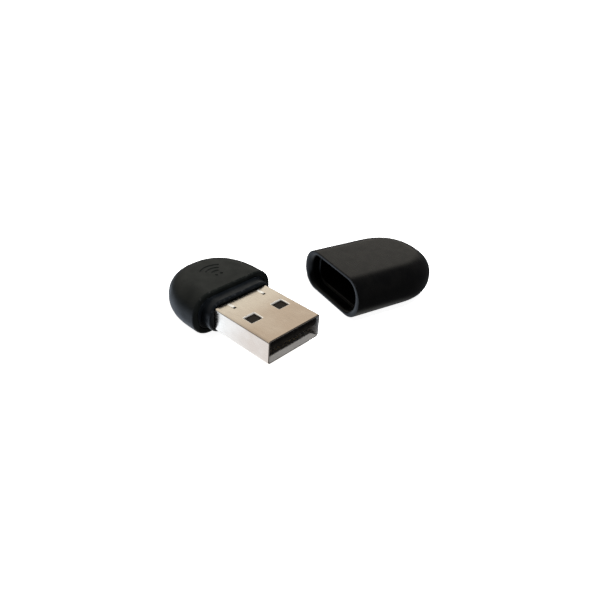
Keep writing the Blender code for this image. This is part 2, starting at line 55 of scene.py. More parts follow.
# Sizes of the object that the frame's boxes don't hold, in metres
EDGE_FLAT = 0.6 * MM
END_SQUARENESS = 2.25
HOUSING_STRAIGHT = 2.3 * MM
SIDE_WALL = 1.1 * MM
TOP_WALL = 0.95 * MM
COLLAR_WIDTH = 14.3 * MM
COLLAR_HEIGHT = 6.2 * MM
SPIGOT_LENGTH = 2.8 * MM
SNAP_LENGTH = 0.9 * MM
SNAP_SPAN = 1.8 * MM
PLUG_WALL = 0.3 * MM
PLUG_RADIUS = 0.5 * MM
PLUG_TAIL_TAB = 2.0 * MM
TAB_HEIGHT = 1.9 * MM
WINDOW_LENGTH = 2.0 * MM
WINDOW_WIDTH = 2.4 * MM
WINDOW_FROM_TIP = 6.6 * MM
WINDOW_OFFSET = 3.17 * MM
CAP_LENGTH = 21.6 * MM
CAP_END_DEPTH = 9.85 * MM
CAP_RECESS_DEPTH = 2.2 * MM
CAP_RECESS_ROOM = 0.1 * MM
CAP_BORE_WIDTH = 13.8 * MM
CAP_BORE_HEIGHT = 5.5 * MM
CAP_BORE_RADIUS = 2.0 * MM
CAP_BORE_DEPTH = 16.0 * MM
CAP_INLINE_GAP = 1.0 * MM
FIT = 0.1 * MM
OVERRUN = 1.0 * MM

# Fine shapes that only the looks have
HOUSING_RIM = 0.35 * MM
COLLAR_EDGE = 0.4 * MM
CAP_RIM = 0.2 * MM
CAP_LEAD_SIDE = 1.25 * MM
CAP_LEAD_TOP = 0.45 * MM
CAP_LEAD_DEPTH = 1.1 * MM
CAP_INNER_EDGE = 0.2 * MM
SHEET_EDGE = 0.07 * MM
WINDOW_RADIUS = 0.12 * MM
WINDOW_EDGE = 0.22 * MM
SEAM_WIDTH = 0.07 * MM
SEAM_DEPTH = 0.12 * MM
LANCE_OFFSET = 3.4 * MM
LANCE_FROM_COLLAR = 0.35 * MM
LANCE_LENGTH = 1.6 * MM
LANCE_WIDTH = 0.62 * MM
LANCE_RISE = 0.14 * MM
LANCE_GAP = 0.36 * MM

# The radio-wave sign in the housing's top
SIGN_X = 2.5 * MM
SIGN_DEPTH = 0.13 * MM
SIGN_ARCS = (1.3 * MM, 2.35 * MM, 3.4 * MM)
SIGN_HALF_TURN = math.radians(42.0)
SIGN_BAR = 0.26 * MM
SIGN_DOT = 1.2 * SIGN_BAR
SIGN_DOT_GAP = 0.55 * MM

# How finely the shapes are divided
ARC_STEPS = 16
ROW_STEPS = 28
CORNER_STEPS = 8
END_STEPS = 56
BEVEL_STEPS = 3
SIGN_STEPS = 28
SIGN_SIDES = 20
DOT_SEGMENTS = (24, 16)
MERGE_DISTANCE = 0.001 * MM
SLIVER_SIZE = 0.0005 * MM

# Shading and wear
SHARP_ANGLE = math.radians(35.0)
FLAT_WEIGHT = 80
WEAR_RADIUS = 0.35 * MM
PROUD_OF_SHEET = SHEET_EDGE / 10
RIM_SLOPE = 0.985
RUBBED_SHARE = 0.75
DUST = (0.30, 0.29, 0.27)

# Camera and studio, in metres, but for the lens and its sensor, in millimetres
CAMERA_AIM = Vector((0.0137, 0.0094, 0.0041))
CAMERA_AZIMUTH = math.radians(-40.71)
CAMERA_ELEVATION = math.radians(31.99)
CAMERA_ROLL = math.radians(4.197)
CAMERA_DISTANCE = 0.10759
CAMERA_LENS = 35.77
SENSOR_WIDTH = 36.0
CLIP_END = 10.0
FLOOR_RADIUS = 1.5
FLOOR_SEGMENTS = 96
FLOOR_GLOW = 0.93
BACKDROP_SEGMENTS = (48, 24)
BACKDROP_GLOW = 1.1
OVERHEAD_PLACE = Vector((0.12, 0.05, 0.30))
OVERHEAD_SIZE = 0.035
OVERHEAD_WATTS = 1.25

# Light from all round: a colour, where it comes from, and over which values it fades in
UP = Vector((0.0, 0.0, 1.0))
DARK_SIDE = (0.100, 0.100, 0.105)
SKY = (0.80, 0.755, 0.665)
SKY_FROM = Vector((-1.0, 0.15, 0.0))
SKY_ASIDE = (0.12, 0.62)
SKY_HEIGHT = (0.10, 0.24)
TABLE = (1.21, 1.37, 1.60)
TABLE_FROM = Vector((-0.6, -0.8, 0.0))
TABLE_ASIDE = (0.0, 0.55)
TABLE_HEIGHT = (-0.08, -0.22)
UNDERSIDE = (0.80, 0.80, 0.77)
UNDERSIDE_HEIGHT = (-0.62, -0.95)

HOUSING_LOW, HOUSING_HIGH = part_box("housing_shell")
COLLAR_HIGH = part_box("front_collar")[1]
PLUG_LOW, PLUG_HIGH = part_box("plug_shell")
BODY_WIDTH = HOUSING_HIGH.y - HOUSING_LOW.y
BODY_HEIGHT = HOUSING_HIGH.z - HOUSING_LOW.z
BODY_LENGTH = HOUSING_HIGH.x - HOUSING_LOW.x
AXIS_HEIGHT = (HOUSING_HIGH.z + HOUSING_LOW.z) / 2
HOUSING_FRONT = HOUSING_HIGH.x
COLLAR_FRONT = COLLAR_HIGH.x
PLUG_TIP = PLUG_HIGH.x
PLUG_REAR = PLUG_LOW.x + PLUG_TAIL_TAB
PLUG_WIDTH = PLUG_HIGH.y - PLUG_LOW.y
PLUG_HEIGHT = PLUG_HIGH.z - PLUG_LOW.z
SNAP_X = HOUSING_FRONT - SPIGOT_LENGTH / 2
WINDOW_X = PLUG_TIP - WINDOW_FROM_TIP
SIDES = ((1, "left"), (-1, "right"))


# ---------------------------------------------------------------- shapes

def body_section(width, height):
    """Width, height and corner radius of a section whose edges round into each other."""
    return (width, height, (height - EDGE_FLAT) / 2)


def rib(plan, normal, radius, flat):
    """Profile of a rounded edge at one place of the plan outline, from top to bottom."""
    points = []
    for side in (1, -1):
        for step in range(ARC_STEPS + 1):
            turn = math.pi / 2 * step / ARC_STEPS
            angle = math.pi / 2 - turn if side > 0 else -turn
            inset = radius * (1 - math.cos(angle))
            height = side * flat / 2 + radius * math.sin(angle)
            x, y = plan[0] - normal[0] * inset, plan[1] - normal[1] * inset
            points.append(Vector((x, y, height)))
    return points


def across(start, end):
    return [start.lerp(end, step / ROW_STEPS) for step in range(1, ROW_STEPS)]


def ring(plan, normal, radius, flat):
    """A closed section: the rib on the left, its mirror on the right, and straight rows between."""
    left = rib(plan, normal, radius, flat)
    right = [Vector((point.x, -point.y, point.z)) for point in reversed(left)]
    return left + across(left[-1], right[0]) + right + across(right[-1], left[0])


def section_ring(x, section, offset=0.0, top_offset=None):
    """A rounded rectangle across X, grown by offset, or by another offset above and below."""
    width, height, radius = section
    up = offset if top_offset is None else top_offset
    return ring((x, width / 2 + offset), (0.0, 1.0), radius + up, height - 2 * radius)


def line_ring(x, section):
    """A section flattened into its middle line, which closes a face across X."""
    width, height, _ = section
    return ring((x, (width - height) / 2), (0.0, 1.0), 0.0, 0.0)


def corner(section, x, size, wall, side, depth=None, top_size=None):
    """Rings of a quarter round from a wall to a face across X, of one size or of three.

    The wall lies beyond X (wall 1) or before it (-1), and the face goes out (side 1) or in (-1).
    """
    rings = []
    for step in range(CORNER_STEPS + 1):
        angle = math.pi / 2 * step / CORNER_STEPS
        place = x + wall * (depth or size) * (1 - math.sin(angle))
        reach = side * (1 - math.cos(angle))
        rings.append(section_ring(place, section, reach * size, reach * (top_size or size)))
    return rings


def rounded_end(section, straight, length):
    """Rings of a D-shaped body from its straight part out to its tip."""
    width, height, radius = section
    reach = length - straight
    rings = []
    for step in range(END_STEPS + 1):
        angle = math.pi / 2 * step / END_STEPS
        side = max(math.cos(angle), 0.0) ** (2 / END_SQUARENESS)
        along = math.sin(angle) ** (2 / END_SQUARENESS)
        slope_along = along ** (END_SQUARENESS - 1) / reach
        slope_side = side ** (END_SQUARENESS - 1) / (width / 2)
        normal = Vector((slope_along, slope_side)).normalized()
        plan = (straight + reach * along, width / 2 * side)
        rings.append(ring(plan, normal, radius, height - 2 * radius))
    return rings


def loft(name, rings, looped=False):
    """A closed mesh through rings of equal length, which close it where they shrink to a line."""
    shape = bmesh.new()
    made = [[shape.verts.new(point) for point in points] for points in rings]
    pairs = list(zip(made, made[1:]))
    if looped:
        pairs.append((made[-1], made[0]))
    for one, two in pairs:
        for index in range(len(one)):
            after = (index + 1) % len(one)
            shape.faces.new((one[index], one[after], two[after], two[index]))
    bmesh.ops.remove_doubles(shape, verts=shape.verts, dist=MERGE_DISTANCE)
    bmesh.ops.dissolve_degenerate(shape, edges=shape.edges, dist=SLIVER_SIZE)
    bmesh.ops.recalc_face_normals(shape, faces=shape.faces)
    return to_object(name, shape)


def to_object(name, shape):
    mesh = bpy.data.meshes.new(name)
    shape.to_mesh(mesh)
    shape.free()
    made = bpy.data.objects.new(name, mesh)
    bpy.context.scene.collection.objects.link(made)
    return made


def block(name, x, y, z, bevel=0.0):
    """A box between two X, two Y and two Z values, with rounded edges."""
    shape = bmesh.new()
    bmesh.ops.create_cube(shape, size=1.0)
    size = Vector((x[1] - x[0], y[1] - y[0], z[1] - z[0]))
    middle = Vector((x[0] + x[1], y[0] + y[1], z[0] + z[1])) / 2
    bmesh.ops.scale(shape, vec=size, verts=shape.verts)
    bmesh.ops.translate(shape, vec=middle, verts=shape.verts)
    if bevel:
        bmesh.ops.bevel(
            shape, geom=shape.edges[:], offset=bevel, segments=BEVEL_STEPS, profile=0.5,
            affect="EDGES", clamp_overlap=True,
        )
    return to_object(name, shape)


def span(middle, size):
    return (middle - size / 2, middle + size / 2)


def on_side(side, inner, outer):
    return tuple(sorted((side * inner, side * outer)))


def combine(piece, others, operation):
    """Joins or cuts with solids that are used up by it."""
    for other in others:
        boolean = piece.modifiers.new(other.name, "BOOLEAN")
        boolean.object = other
        boolean.operation = operation
        boolean.solver = "EXACT"
    bake_modifiers(piece)
    for other in others:
        bpy.data.objects.remove(other, do_unlink=True)


def bake_modifiers(piece):
    bpy.context.view_layer.update()
    depsgraph = bpy.context.evaluated_depsgraph_get()
    mesh = bpy.data.meshes.new_from_object(piece.evaluated_get(depsgraph))
    piece.modifiers.clear()
    old = piece.data
    piece.data = mesh
    bpy.data.meshes.remove(old)


def transform(piece, matrix):
    piece.data.transform(matrix)
    piece.data.update()


def facing_back(piece):
    """From its own frame, mouth at X = 0, to behind the housing's front."""
    turn = Matrix.Rotation(math.pi, 4, "Z")
    transform(piece, Matrix.Translation((HOUSING_FRONT, 0.0, AXIS_HEIGHT)) @ turn)


def lift(piece):
    transform(piece, Matrix.Translation((0.0, 0.0, AXIS_HEIGHT)))


def mark_edges(piece):
    """Stores how sharply each vertex turns outwards, which the materials read as wear.

    It is 1 where the surface is rounded to WEAR_RADIUS or sharper, and 0 where it is flat.
    """
    shape = bmesh.new()
    shape.from_mesh(piece.data)
    layer = shape.verts.layers.float.new("edge")
    for edge in shape.edges:
        if len(edge.link_faces) != 2:
            continue
        turn = edge.calc_face_angle_signed(0.0)
        area = sum(face.calc_area() for face in edge.link_faces)
        length = edge.calc_length()
        if turn <= 0 or area <= 0:
            continue
        curvature = 2 * turn * length / area
        sharpness = min(1.0, curvature * WEAR_RADIUS)
        for vertex in edge.verts:
            vertex[layer] = max(vertex[layer], sharpness)
    shape.to_mesh(piece.data)
    shape.free()


def finish_shape(piece):
    """Smooth shading that keeps real edges, with flat faces staying flat."""
    mark_edges(piece)
    piece.data.shade_smooth()
    piece.data.set_sharp_from_angle(angle=SHARP_ANGLE)
    weighted = piece.modifiers.new("flat_faces", "WEIGHTED_NORMAL")
    weighted.keep_sharp = True
    weighted.weight = FLAT_WEIGHT


# ---------------------------------------------------------------- materials

class Shader:
    """A Principled material whose patterns are in object coordinates, in metres."""

    def __init__(self, name, roughness, metallic=0.0, specular=0.5, coat=0.0):
        self.material = bpy.data.materials.new(name)
        self.material.use_nodes = True
        self.tree = self.material.node_tree
        self.out = self.tree.nodes["Principled BSDF"]
        self.out.inputs["Roughness"].default_value = roughness
        self.out.inputs["Metallic"].default_value = metallic
        self.out.inputs["Specular IOR Level"].default_value = specular
        self.out.inputs["Coat Weight"].default_value = coat
        self.place = self.add("ShaderNodeTexCoord").outputs["Object"]
        self.bumped = None

    def add(self, kind, **settings):
        node = self.tree.nodes.new(kind)
        for key, value in settings.items():
            setattr(node, key, value)
        return node

    def link(self, source, target):
        self.tree.links.new(source, target)

    def stretched(self, scale):
        node = self.add("ShaderNodeMapping")
        node.inputs["Scale"].default_value = scale
        self.link(self.place, node.inputs["Vector"])
        return node.outputs["Vector"]

    def noise(self, size, detail=3.0, roughness=0.55, place=None):
        node = self.add("ShaderNodeTexNoise")
        node.inputs["Scale"].default_value = 1.0 / size
        node.inputs["Detail"].default_value = detail
        node.inputs["Roughness"].default_value = roughness
        self.link(place or self.place, node.inputs["Vector"])
        return node.outputs["Fac"]

    def specks(self, size):
        """How far each place is from the nearest of many scattered points."""
        node = self.add("ShaderNodeTexVoronoi")
        node.inputs["Scale"].default_value = 1.0 / size
        self.link(self.place, node.inputs["Vector"])
        return node.outputs["Distance"]

    def ramp(self, value, low, high, start=0.0, end=1.0):
        """value from low to high, turned into start to end. Noise values lie round 0.5."""
        node = self.add("ShaderNodeMapRange", clamp=True)
        node.interpolation_type = "SMOOTHSTEP"
        self.link(value, node.inputs["Value"])
        keys = ("From Min", "From Max", "To Min", "To Max")
        for key, number in zip(keys, (low, high, start, end)):
            node.inputs[key].default_value = number
        return node.outputs["Result"]

    def maths(self, operation, one, two):
        node = self.add("ShaderNodeMath", operation=operation)
        for socket, value in zip(node.inputs, (one, two)):
            if isinstance(value, (int, float)):
                socket.default_value = value
            else:
                self.link(value, socket)
        return node.outputs["Value"]

    def mix(self, factor, one, two):
        """Colour one where factor is 0, two where it is 1."""
        node = self.add("ShaderNodeMix", data_type="RGBA")
        self.link(factor, node.inputs["Factor"])
        for name, value in (("A", one), ("B", two)):
            socket = [s for s in node.inputs if s.name == name and s.type == "RGBA"][0]
            if isinstance(value, tuple):
                socket.default_value = (*value, 1.0)
            else:
                self.link(value, socket)
        return [s for s in node.outputs if s.type == "RGBA"][0]

    def attribute(self, name):
        return self.add("ShaderNodeAttribute", attribute_name=name).outputs["Fac"]

    def axis(self, name):
        node = self.add("ShaderNodeSeparateXYZ")
        self.link(self.place, node.inputs["Vector"])
        return node.outputs[name]

    def colour(self, socket):
        self.link(socket, self.out.inputs["Base Color"])

    def roughness(self, socket):
        self.link(socket, self.out.inputs["Roughness"])

    def bump(self, height, depth, strength=1.0):
        node = self.add("ShaderNodeBump")
        node.inputs["Strength"].default_value = strength
        node.inputs["Distance"].default_value = depth
        self.link(height, node.inputs["Height"])
        if self.bumped:
            self.link(self.bumped, node.inputs["Normal"])
        self.bumped = node.outputs["Normal"]
        self.link(self.bumped, self.out.inputs["Normal"])


def moulded_plastic(name, dark, light, worn, roughness, grain, grain_depth, specular):
    """Black plastic with a fine grain, specks of dust, uneven gloss, and edges rubbed paler."""
    shader = Shader(name, roughness, specular=specular)
    cloud = shader.noise(2.6 * MM, detail=4.0)
    body = shader.mix(shader.ramp(cloud, 0.32, 0.68), dark, light)
    patches = shader.ramp(shader.noise(0.5 * MM, detail=5.0), 0.42, 0.72)
    rub = shader.maths("MULTIPLY", shader.attribute("edge"), patches)
    body = shader.mix(shader.ramp(rub, 0.25, 1.0, 0.0, 0.55), body, worn)
    specks = shader.ramp(shader.specks(0.75 * MM), 0.028, 0.012)
    dusty = shader.ramp(shader.noise(3.4 * MM, detail=2.0), 0.5, 0.62, 0.0, 0.3)
    dust = shader.maths("MULTIPLY", specks, dusty)
    shader.colour(shader.mix(dust, body, DUST))
    handled = shader.noise(1.7 * MM, detail=5.0, roughness=0.62)
    gloss = shader.ramp(handled, 0.3, 0.7, roughness + 0.05, roughness - 0.05)
    shader.roughness(shader.maths("SUBTRACT", gloss, shader.maths("MULTIPLY", rub, 0.08)))
    shader.bump(shader.noise(grain, detail=4.0, roughness=0.6), grain_depth)
    shader.bump(shader.noise(5.0 * MM, detail=1.0), 0.02 * MM, strength=0.5)
    return shader.material


def housing_plastic():
    return moulded_plastic(
        "housing_black", dark=(0.0058, 0.0070, 0.0066), light=(0.0092, 0.0106, 0.0098),
        worn=(0.040, 0.041, 0.039), roughness=0.42, grain=0.11 * MM, grain_depth=0.006 * MM,
        specular=0.11,
    )


def collar_plastic():
    return moulded_plastic(
        "collar_black", dark=(0.0040, 0.0052, 0.0066), light=(0.0065, 0.0080, 0.0096),
        worn=(0.034, 0.037, 0.042), roughness=0.34, grain=0.09 * MM, grain_depth=0.004 * MM,
        specular=0.18,
    )


def cap_plastic():
    return moulded_plastic(
        "cap_black", dark=(0.0018, 0.0018, 0.0019), light=(0.0031, 0.0030, 0.0029),
        worn=(0.022, 0.022, 0.024), roughness=0.29, grain=0.10 * MM, grain_depth=0.004 * MM,
        specular=0.145,
    )


def cap_inside():
    """Straight off the mould's core: duller than the outside, and never handled."""
    return moulded_plastic(
        "cap_inside_black", dark=(0.0022, 0.0022, 0.0023), light=(0.0034, 0.0034, 0.0034),
        worn=(0.012, 0.012, 0.013), roughness=0.34, grain=0.14 * MM, grain_depth=0.005 * MM,
        specular=0.12,
    )


def insulator_plastic():
    """Glass-filled black plastic, with paler fibres along the tongue."""
    shader = Shader("insulator_black", 0.45, specular=0.08)
    cloud = shader.noise(0.9 * MM, detail=4.0)
    fibre = shader.noise(0.05 * MM, detail=2.0, place=shader.stretched((0.25, 1.0, 1.0)))
    dark, light = (0.0086, 0.0068, 0.0052), (0.0138, 0.0114, 0.0092)
    body = shader.mix(shader.ramp(cloud, 0.3, 0.7), dark, light)
    shader.colour(shader.mix(shader.ramp(fibre, 0.62, 0.8, 0.0, 0.5), body, (0.020, 0.016, 0.014)))
    shader.roughness(shader.ramp(cloud, 0.3, 0.7, 0.4, 0.52))
    shader.bump(fibre, 0.004 * MM)
    return shader.material


def rolled_metal(name, base, tinted, dark, roughness, run=None, metallic=1.0):
    """Plated sheet: faint rolling lines along X, cloudy tint, and fine handling scratches.

    With a run, from one X to another, the tint grows along it. With a metallic share below 1,
    the metal also scatters light, as an unpolished face does.
    """
    shader = Shader(name, roughness, metallic=metallic)
    tint = shader.ramp(shader.noise(4.5 * MM, detail=2.0), 0.35, 0.65)
    if run:
        along = shader.ramp(shader.axis("X"), run[0], run[1], 0.0, 0.8)
        tint = shader.maths("ADD", along, shader.maths("MULTIPLY", tint, 0.25))
    lines = shader.noise(0.06 * MM, detail=3.0, place=shader.stretched((0.03, 1.0, 1.0)))
    body = shader.mix(tint, base, tinted)
    body = shader.mix(shader.ramp(lines, 0.4, 0.75, 0.0, 0.22), body, dark)
    stain = shader.ramp(shader.noise(0.8 * MM, detail=6.0, roughness=0.7), 0.56, 0.78, 0.0, 0.25)
    body = shader.mix(stain, body, dark)
    shader.colour(body)
    streaks = shader.noise(0.04 * MM, detail=1.0, place=shader.stretched((0.012, 1.0, 1.0)))
    handled = shader.ramp(shader.noise(2.2 * MM, detail=3.0), 0.45, 0.65)
    worn = shader.maths("MULTIPLY", shader.ramp(streaks, 0.68, 0.8), handled)
    gloss = shader.ramp(lines, 0.3, 0.7, roughness - 0.04, roughness + 0.06)
    gloss = shader.maths("ADD", gloss, shader.maths("MULTIPLY", worn, 0.12))
    shader.roughness(gloss)
    shader.bump(lines, 0.0012 * MM)
    shader.bump(worn, -0.002 * MM)
    shader.bump(shader.noise(3.0 * MM, detail=1.0), 0.012 * MM, strength=0.6)
    return shader.material


def plug_nickel():
    """The sheet is duller and slightly redder towards the tip, where it rubs in a socket."""
    rubbed_from = COLLAR_FRONT + RUBBED_SHARE * (PLUG_TIP - COLLAR_FRONT)
    return rolled_metal(
        "plug_nickel", base=(0.79, 0.725, 0.635), tinted=(0.575, 0.470, 0.380),
        dark=(0.42, 0.36, 0.30), roughness=0.23, run=(COLLAR_FRONT, rubbed_from),
    )


def plug_inside():
    """Unpolished, so it scatters light that the outside would mirror."""
    return rolled_metal(
        "plug_inside", base=(0.62, 0.60, 0.57), tinted=(0.56, 0.54, 0.51),
        dark=(0.38, 0.36, 0.33), roughness=0.52, metallic=0.65,
    )


def plug_painted_highlight():
    """Near-white metal where the sheet stands up or its edge is pressed: some real rubbing there,
    with a painted highlight on top of it.
    """
    return rolled_metal(
        "plug_painted_highlight", base=(0.93, 0.90, 0.84), tinted=(0.90, 0.86, 0.79),
        dark=(0.70, 0.65, 0.58), roughness=0.30, metallic=0.55,
    )


def contact_gold():
    return rolled_metal(
        "contact_gold", base=(0.86, 0.62, 0.26), tinted=(0.90, 0.68, 0.33),
        dark=(0.55, 0.38, 0.16), roughness=0.24,
    )


def tinplate():
    return rolled_metal(
        "tinplate", base=(0.66, 0.66, 0.65), tinted=(0.60, 0.61, 0.61),
        dark=(0.40, 0.40, 0.40), roughness=0.30,
    )


def crystal_lid():
    return rolled_metal(
        "crystal_lid", base=(0.70, 0.68, 0.60), tinted=(0.64, 0.62, 0.55),
        dark=(0.45, 0.43, 0.38), roughness=0.27,
    )


def board_laminate():
    """Green solder mask over copper tracks that show as slightly paler, raised lines.

    The bricks of the pattern are in millimetres, and the tracks are the gaps between them.
    """
    shader = Shader("board_green", 0.38, specular=0.5, coat=0.3)
    weave = shader.noise(0.35 * MM, detail=3.0)
    tracks = shader.add("ShaderNodeTexBrick", offset=0.37, squash=0.6)
    shader.link(shader.stretched((1.0 / MM, 1.0 / MM, 1.0 / MM)), tracks.inputs["Vector"])
    pattern = {"Scale": 1.0, "Mortar Size": 0.07, "Brick Width": 1.9, "Row Height": 0.55}
    for key, number in pattern.items():
        tracks.inputs[key].default_value = number
    line = tracks.outputs["Fac"]
    mask = shader.mix(shader.ramp(weave, 0.3, 0.7), (0.012, 0.085, 0.035), (0.018, 0.110, 0.045))
    shader.colour(shader.mix(shader.maths("MULTIPLY", line, 0.75), mask, (0.045, 0.230, 0.090)))
    shader.roughness(shader.ramp(weave, 0.3, 0.7, 0.34, 0.46))
    shader.bump(line, 0.02 * MM)
    shader.bump(weave, 0.004 * MM)
    return shader.material


def package(name, dark, light, roughness, grain):
    """Moulded or fired body of a small component, with a fine speckle of the light colour."""
    shader = Shader(name, roughness, specular=0.4)
    speckle = shader.noise(grain, detail=4.0, roughness=0.6)
    cloud = shader.noise(0.7 * MM, detail=2.0)
    body = shader.mix(shader.ramp(cloud, 0.3, 0.7), dark, light)
    shader.colour(shader.mix(shader.ramp(speckle, 0.58, 0.75, 0.0, 0.5), body, light))
    shader.roughness(shader.ramp(speckle, 0.3, 0.7, roughness - 0.06, roughness + 0.06))
    shader.bump(speckle, 0.006 * MM)
    return shader.material


def chip_epoxy():
    return package(
        "chip_epoxy", dark=(0.012, 0.012, 0.013), light=(0.030, 0.030, 0.032),
        roughness=0.52, grain=0.05 * MM,
    )


def antenna_ceramic():
    return package(
        "antenna_ceramic", dark=(0.72, 0.72, 0.68), light=(0.84, 0.84, 0.80),
        roughness=0.40, grain=0.04 * MM,
    )


def ferrite():
    return package(
        "ferrite", dark=(0.07, 0.07, 0.08), light=(0.13, 0.13, 0.14),
        roughness=0.60, grain=0.06 * MM,
    )


def capacitor_ceramic():
    return package(
        "capacitor_ceramic", dark=(0.34, 0.24, 0.14), light=(0.50, 0.37, 0.23),
        roughness=0.48, grain=0.03 * MM,
    )


def resistor_film():
    return package(
        "resistor_film", dark=(0.018, 0.018, 0.022), light=(0.045, 0.045, 0.050),
        roughness=0.45, grain=0.03 * MM,
    )


# ---------------------------------------------------------------- the adapter's pieces

def sign_path(radius):
    """Points of one arc of the radio-wave sign, about its own middle, on the -X side of it."""
    points = []
    for step in range(SIGN_STEPS + 1):
        angle = math.pi + SIGN_HALF_TURN * (2 * step / SIGN_STEPS - 1)
        points.append(Vector((radius * math.cos(angle), radius * math.sin(angle), 0.0)))
    return points


def groove(name, points, radius):
    """A round bar along the points, with its ends closed as half balls."""
    rings = []
    lengths = [0.0]
    for one, two in zip(points, points[1:]):
        lengths.append(lengths[-1] + (two - one).length)
    for index, point in enumerate(points):
        before = points[max(index - 1, 0)]
        after = points[min(index + 1, len(points) - 1)]
        along = (after - before).normalized()
        side = Vector((-along.y, along.x, 0.0))
        from_end = min(lengths[index], lengths[-1] - lengths[index])
        shrink = max(0.0, 1 - from_end / radius)
        size = radius * math.sqrt(max(0.0, 1 - shrink**2))
        turns = [2 * math.pi * step / SIGN_SIDES for step in range(SIGN_SIDES)]
        rings.append([
            point + side * size * math.cos(turn) + Vector((0.0, 0.0, size * math.sin(turn)))
            for turn in turns
        ])
    return loft(name, rings)


def sign_cutters():
    """Three nested arcs and two dots, sunk into the housing's top."""
    made = []
    for number, radius in enumerate(SIGN_ARCS, start=1):
        made.append(groove("sign_arc_%d" % number, sign_path(radius), SIGN_BAR))
    around, along = DOT_SEGMENTS
    for side, label in SIDES:
        shape = bmesh.new()
        bmesh.ops.create_uvsphere(shape, u_segments=around, v_segments=along, radius=SIGN_DOT)
        bmesh.ops.translate(shape, vec=(0.0, side * SIGN_DOT_GAP, 0.0), verts=shape.verts)
        made.append(to_object("sign_dot_" + label, shape))
    place = Vector((SIGN_X, 0.0, HOUSING_HIGH.z + SIGN_BAR - SIGN_DEPTH))
    for cutter in made:
        transform(cutter, Matrix.Translation(place))
    return made


def make_housing():
    outer = body_section(BODY_WIDTH, BODY_HEIGHT)
    inner = body_section(BODY_WIDTH - 2 * SIDE_WALL, BODY_HEIGHT - 2 * TOP_WALL)
    rings = list(reversed(rounded_end(outer, HOUSING_STRAIGHT, BODY_LENGTH)))
    rings += corner(outer, 0.0, HOUSING_RIM, 1, -1)
    rings += reversed(corner(inner, 0.0, FIT, 1, 1))
    rings += rounded_end(inner, HOUSING_STRAIGHT, BODY_LENGTH - SIDE_WALL)
    housing = loft("moulded_housing", rings)
    facing_back(housing)
    cutters = sign_cutters()
    reach = COLLAR_HIGH.y + FIT
    for side, label in SIDES:
        cutters.append(block(
            "snap_pocket_" + label, span(SNAP_X, SNAP_LENGTH + 2 * FIT),
            on_side(side, reach - OVERRUN, reach), span(AXIS_HEIGHT, SNAP_SPAN + 2 * FIT),
        ))
    combine(housing, cutters, "DIFFERENCE")
    finish_shape(housing)
    housing.data.materials.append(housing_plastic())
    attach(housing, ADAPTER)
    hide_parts("housing_shell")


def make_spigot():
    """The part of the collar that fills the housing's mouth."""
    height = BODY_HEIGHT - 2 * TOP_WALL - 2 * FIT
    section = body_section(BODY_WIDTH - 2 * SIDE_WALL - 2 * FIT, height)
    rear = HOUSING_FRONT - SPIGOT_LENGTH
    rings = [line_ring(rear, section)]
    rings += reversed(corner(section, rear, FIT, 1, -1))
    rings += corner(section, HOUSING_FRONT, FIT, -1, -1)
    rings.append(line_ring(HOUSING_FRONT, section))
    spigot = loft("collar_spigot", rings)
    lift(spigot)
    return spigot


def make_collar():
    section = body_section(COLLAR_WIDTH, COLLAR_HEIGHT)
    base = HOUSING_FRONT - FIT
    rings = [line_ring(base, section), section_ring(base, section)]
    rings += corner(section, COLLAR_FRONT, COLLAR_EDGE, -1, -1)
    rings.append(line_ring(COLLAR_FRONT, section))
    collar = loft("moulded_collar", rings)
    lift(collar)
    additions = [make_spigot()]
    for side, label in SIDES:
        additions.append(block(
            "snap_" + label, span(SNAP_X, SNAP_LENGTH),
            on_side(side, COLLAR_HIGH.y - OVERRUN, COLLAR_HIGH.y), span(AXIS_HEIGHT, SNAP_SPAN),
            bevel=FIT,
        ))
    combine(collar, additions, "UNION")
    bore = (PLUG_WIDTH + 2 * FIT, PLUG_HEIGHT + 2 * FIT, PLUG_RADIUS + FIT)
    rear = HOUSING_FRONT - SPIGOT_LENGTH
    combine(collar, [through_cutter("collar_bore", bore, rear, COLLAR_FRONT, FIT)], "DIFFERENCE")
    finish_shape(collar)
    collar.data.materials.append(collar_plastic())
    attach(collar, ADAPTER)
    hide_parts("front_collar")


def through_cutter(name, section, rear, front, flare):
    """A cutter along X whose ends flare, so that it leaves rounded edges at both faces."""
    rings = [line_ring(rear - OVERRUN, section), section_ring(rear - OVERRUN, section, flare)]
    rings += reversed(corner(section, rear, flare, 1, 1))
    rings += corner(section, front, flare, -1, 1)
    rings += [section_ring(front + OVERRUN, section, flare), line_ring(front + OVERRUN, section)]
    made = loft(name, rings)
    lift(made)
    return made


def window_cutter(name, place):
    """Stands through both wide faces of the plug, flared at each of them."""
    section = (WINDOW_WIDTH, WINDOW_LENGTH, WINDOW_RADIUS)
    made = through_cutter(name, section, -PLUG_HEIGHT / 2, PLUG_HEIGHT / 2, WINDOW_EDGE)
    upright = Matrix.Rotation(-math.pi / 2, 4, "Y")
    to_origin = Matrix.Translation((0.0, 0.0, -AXIS_HEIGHT))
    transform(made, Matrix.Translation(place) @ upright @ to_origin)
    return made


def lance(name, side):
    """A tongue of the sheet pressed up: it rises away from the collar and ends in a short step."""
    width = span(0.0, LANCE_WIDTH)
    made = block(name, (0.0, LANCE_LENGTH), width, (-PLUG_WALL, 0.0), bevel=LANCE_RISE)
    slope = Matrix.Rotation(-math.atan2(LANCE_RISE, LANCE_LENGTH), 4, "Y")
    place = Vector((COLLAR_FRONT + LANCE_FROM_COLLAR, side * LANCE_OFFSET, PLUG_HIGH.z))
    transform(made, Matrix.Translation(place) @ slope)
    return made


def lance_gap(name, side):
    """The sheared slot that a lance's raised end leaves in the sheet."""
    start = COLLAR_FRONT + LANCE_FROM_COLLAR + LANCE_LENGTH
    return block(
        name, (start, start + LANCE_GAP), span(side * LANCE_OFFSET, LANCE_WIDTH),
        (PLUG_HIGH.z - PLUG_WALL - FIT, PLUG_HIGH.z + OVERRUN), bevel=SHEET_EDGE,
    )


